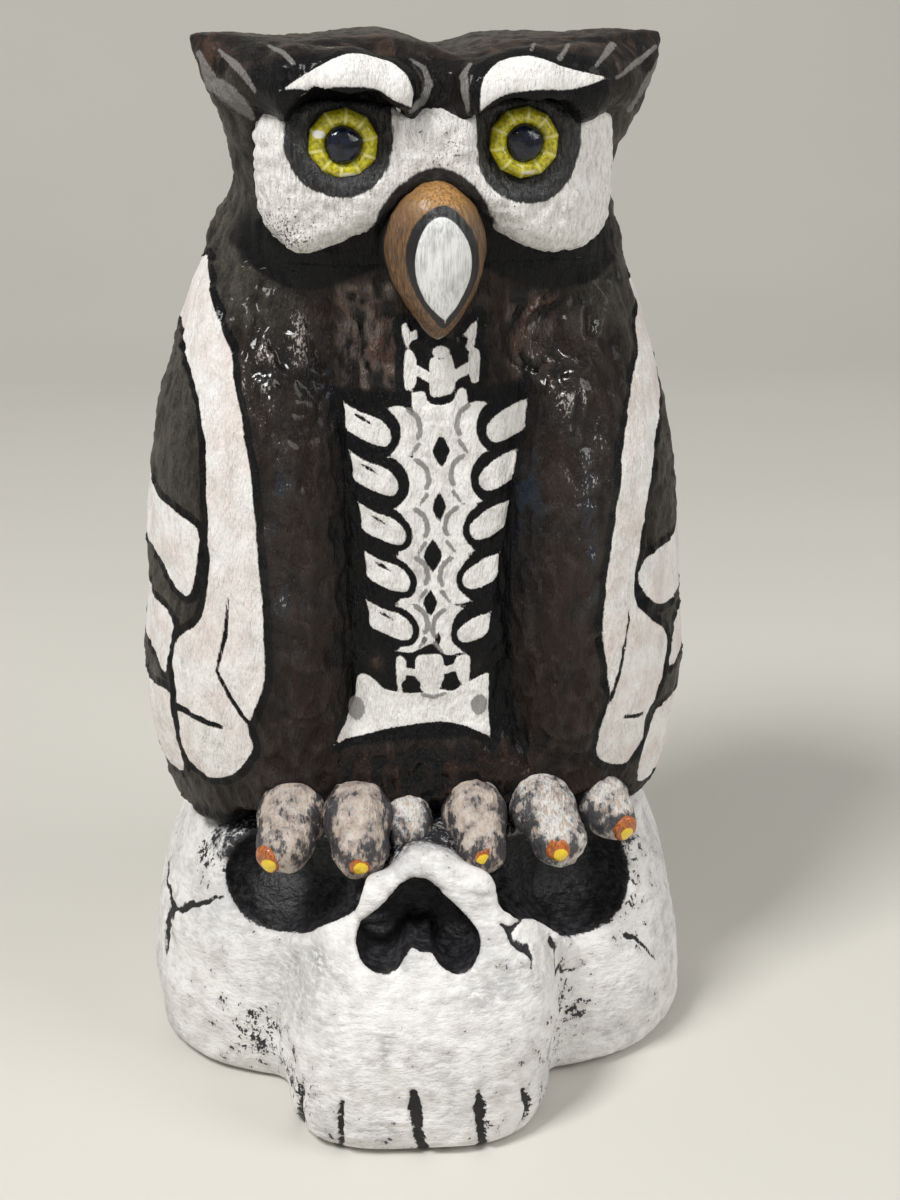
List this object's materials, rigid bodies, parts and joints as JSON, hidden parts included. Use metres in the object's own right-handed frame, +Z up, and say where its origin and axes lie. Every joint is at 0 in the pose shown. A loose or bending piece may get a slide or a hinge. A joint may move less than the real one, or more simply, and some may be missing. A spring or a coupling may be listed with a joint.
{
  "type": "painted owl figurine",
  "caption": "Hand-painted folk-art owl with a white skeleton on its dark body, perched on a white skull without a lower jaw.",
  "frame": {"origin": "middle of the footprint's box, on the table", "axes": "+Z up, -Y the way the owl and the skull face, +X the owl's left"},
  "size_m": [0.1564, 0.1697, 0.282],
  "materials": {
    "skull_paint": "matte white brushed paint with dark speckles, cracks and hollows",
    "body_paint": "rough dark brown paint under gloss varnish, with a painted white spine and ribs",
    "wing_paint": "rough dark brown paint under gloss varnish, with painted white wing bones",
    "head_paint": "dark brown paint under gloss varnish",
    "disc_paint": "brushed white paint with black eye hollows",
    "brow_paint": "dark brown paint with grey strokes and a white bone shape",
    "beak_paint": "ochre and gold paint with a black ring and a white drop",
    "iris": "glossy yellow facets with pale lines between",
    "pupil": "glossy black dome",
    "toe_paint": "beige dry-brushed paint over dark",
    "claw_paint": "yellow paint in an orange ring",
    "dowel_wood": "plain unpainted wood"
  },
  "bodies": {
    "root": {"skull_cranium": "skull_paint", "skull_upper_jaw": "skull_paint", "owl_body": "body_paint", "wing_left": "wing_paint", "wing_right": "wing_paint", "tail": "wing_paint", "head": "head_paint", "facial_disc": "disc_paint", "brow_tuft_left": "brow_paint", "brow_tuft_right": "brow_paint", "beak": "beak_paint", "eye_iris_left": "iris", "eye_iris_right": "iris", "eye_pupil_left": "pupil", "eye_pupil_right": "pupil", "toe_left_inner": "toe_paint", "toe_left_middle": "toe_paint", "toe_left_outer": "toe_paint", "toe_right_inner": "toe_paint", "toe_right_middle": "toe_paint", "toe_right_outer": "toe_paint", "claw_left_inner": "claw_paint", "claw_left_middle": "claw_paint", "claw_left_outer": "claw_paint", "claw_right_middle": "claw_paint", "claw_right_outer": "claw_paint", "neck_dowel": "dowel_wood", "perch_dowel_left": "dowel_wood", "perch_dowel_right": "dowel_wood"}
  },
  "joints": []
}
